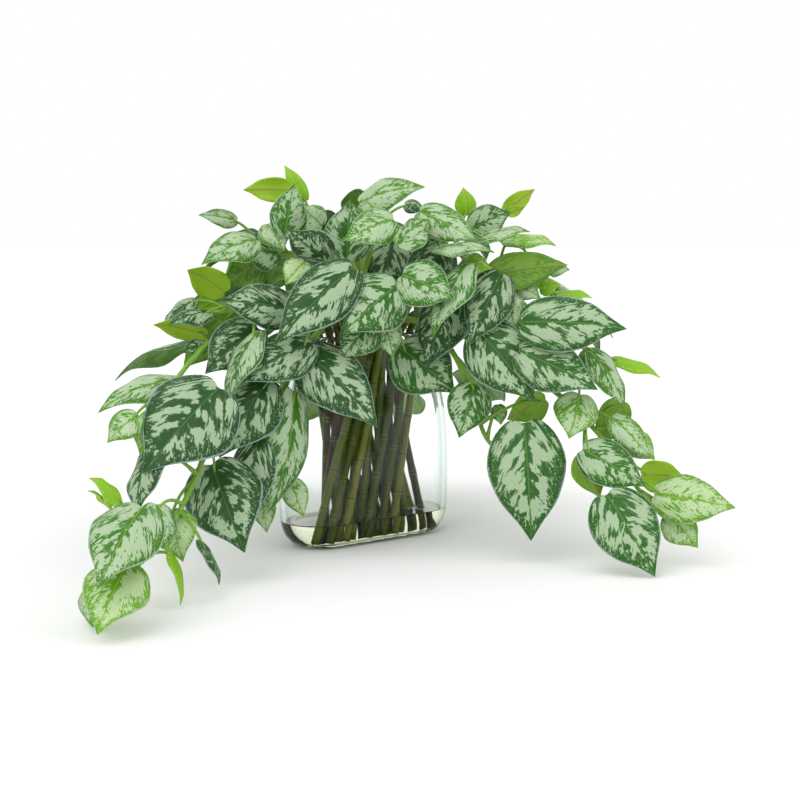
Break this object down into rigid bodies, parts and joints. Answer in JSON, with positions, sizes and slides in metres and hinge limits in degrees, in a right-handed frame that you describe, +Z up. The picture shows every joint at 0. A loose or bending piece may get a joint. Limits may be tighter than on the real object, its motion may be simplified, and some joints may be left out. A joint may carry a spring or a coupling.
{
  "type": "scindapsus in a glass vase",
  "caption": "Cut leafy stems of silver-marked scindapsus standing in a little water in a flat oval vase of clear glass, arching over its rim and trailing to the surface.",
  "frame": {"origin": "centre of the vase's flat foot, on the surface that it stands on", "axes": "+Z up, -Y towards the side that is seen from the front, +X to that viewer's right; the vase's long side is turned 37 degrees from +X about +Z"},
  "size_m": [0.5925, 0.6676, 0.368],
  "materials": {
    "clear_glass": "gloss",
    "water": "gloss",
    "foliage": "satin"
  },
  "bodies": {
    "root": {"vase": "clear_glass", "water": "water", "leafy_stem_left_trailing": "foliage", "leafy_stem_left_upper_trailing": "foliage", "leafy_stem_left_inner": "foliage", "leafy_stem_left_middle": "foliage", "leafy_stem_left_high": "foliage", "leafy_stem_centre_left": "foliage", "leafy_stem_crown_left": "foliage", "leafy_stem_crown_centre": "foliage", "leafy_stem_centre_right": "foliage", "leafy_stem_crown_right": "foliage", "leafy_stem_right_high": "foliage", "leafy_stem_right_front": "foliage", "leafy_stem_right_low": "foliage", "leafy_stem_right_middle": "foliage", "leafy_stem_right_trailing": "foliage", "leafy_stem_rear_01": "foliage", "leafy_stem_rear_02": "foliage", "leafy_stem_rear_03": "foliage", "leafy_stem_rear_04": "foliage", "leafy_stem_rear_05": "foliage", "leafy_stem_rear_06": "foliage", "leafy_stem_rear_07": "foliage", "leafy_stem_rear_08": "foliage", "leafy_stem_rear_09": "foliage", "leafy_stem_rear_10": "foliage", "leafy_stem_rear_11": "foliage", "leafy_stem_rear_12": "foliage"}
  },
  "joints": []
}
